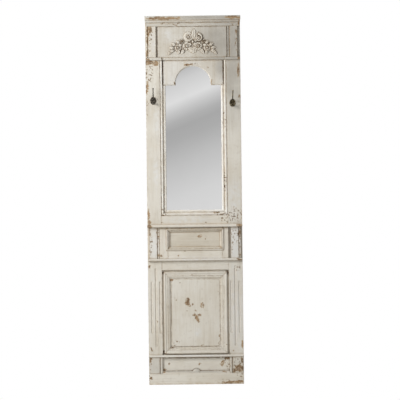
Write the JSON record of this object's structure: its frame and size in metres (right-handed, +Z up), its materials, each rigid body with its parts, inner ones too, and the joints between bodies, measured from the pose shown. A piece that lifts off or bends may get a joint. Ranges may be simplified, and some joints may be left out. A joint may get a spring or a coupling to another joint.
{
  "type": "wall mirror",
  "caption": "Tall painted wooden wall mirror made like a panelled door, with an arched mirror, carved crest, small shelf, fluted stiles, iron coat hooks and hanger rings on the back.",
  "frame": {"origin": "on the floor line, in the middle of the width, at the flat back of the frame", "axes": "+X to the viewer's right, +Y to the back towards the wall, +Z up; the mirror faces -Y"},
  "size_m": [0.52, 0.081, 2],
  "materials": {
    "painted_wood": "worn chalky cream paint over brown wood",
    "plywood": "bare plywood",
    "mirror": "silvered glass",
    "iron": "dark worn iron",
    "steel": "zinc-plated steel",
    "rubber": "matt rubber"
  },
  "bodies": {
    "frame": {"apron_casing_left": "painted_wood", "apron_casing_right": "painted_wood", "apron_ledge": "painted_wood", "apron_moulding_bottom": "painted_wood", "apron_moulding_left": "painted_wood", "apron_moulding_right": "painted_wood", "apron_moulding_top": "painted_wood", "apron_panel": "painted_wood", "apron_rail_bottom": "painted_wood", "apron_rail_top": "painted_wood", "apron_stile_left": "painted_wood", "apron_stile_right": "painted_wood", "arch_board": "painted_wood", "architrave": "painted_wood", "backing_screws": "steel", "base_ledge": "painted_wood", "base_rail": "painted_wood", "bed_moulding": "painted_wood", "carved_crest": "painted_wood", "cornice_board": "painted_wood", "door_panel": "painted_wood", "frieze_board": "painted_wood", "frieze_casing_left": "painted_wood", "frieze_casing_right": "painted_wood", "hanger_screws": "steel", "hanger_strap_left": "steel", "hanger_strap_right": "steel", "hook_left": "iron", "hook_right": "iron", "hook_screws": "iron", "lock_rail": "painted_wood", "mirror_backing": "plywood", "mirror_glass": "mirror", "mirror_rail": "painted_wood", "neck_rail": "painted_wood", "necking_cap_left": "painted_wood", "necking_cap_right": "painted_wood", "necking_strip": "painted_wood", "panel_moulding_bottom": "painted_wood", "panel_moulding_left": "painted_wood", "panel_moulding_right": "painted_wood", "panel_moulding_top": "painted_wood", "plinth_block_left": "painted_wood", "plinth_block_right": "painted_wood", "plinth_rail": "painted_wood", "shelf": "painted_wood", "sight_moulding_bottom": "painted_wood", "sight_moulding_left": "painted_wood", "sight_moulding_right": "painted_wood", "stile_left": "painted_wood", "stile_right": "painted_wood", "top_rail": "painted_wood", "wall_bumpers": "rubber"},
    "ring_left": {"hanger_ring_left": "steel"},
    "ring_right": {"hanger_ring_right": "steel"}
  },
  "joints": [
    {"name": "ring_left_swing", "type": "hinge", "parent": "frame", "child": "ring_left", "pos_m": [-0.233, 0.00318, 1.69], "axis": [1, 0, 0], "range_deg": [0, 180]},
    {"name": "ring_right_swing", "type": "hinge", "parent": "frame", "child": "ring_right", "pos_m": [0.233, 0.00318, 1.69], "axis": [1, 0, 0], "range_deg": [0, 180]}
  ]
}
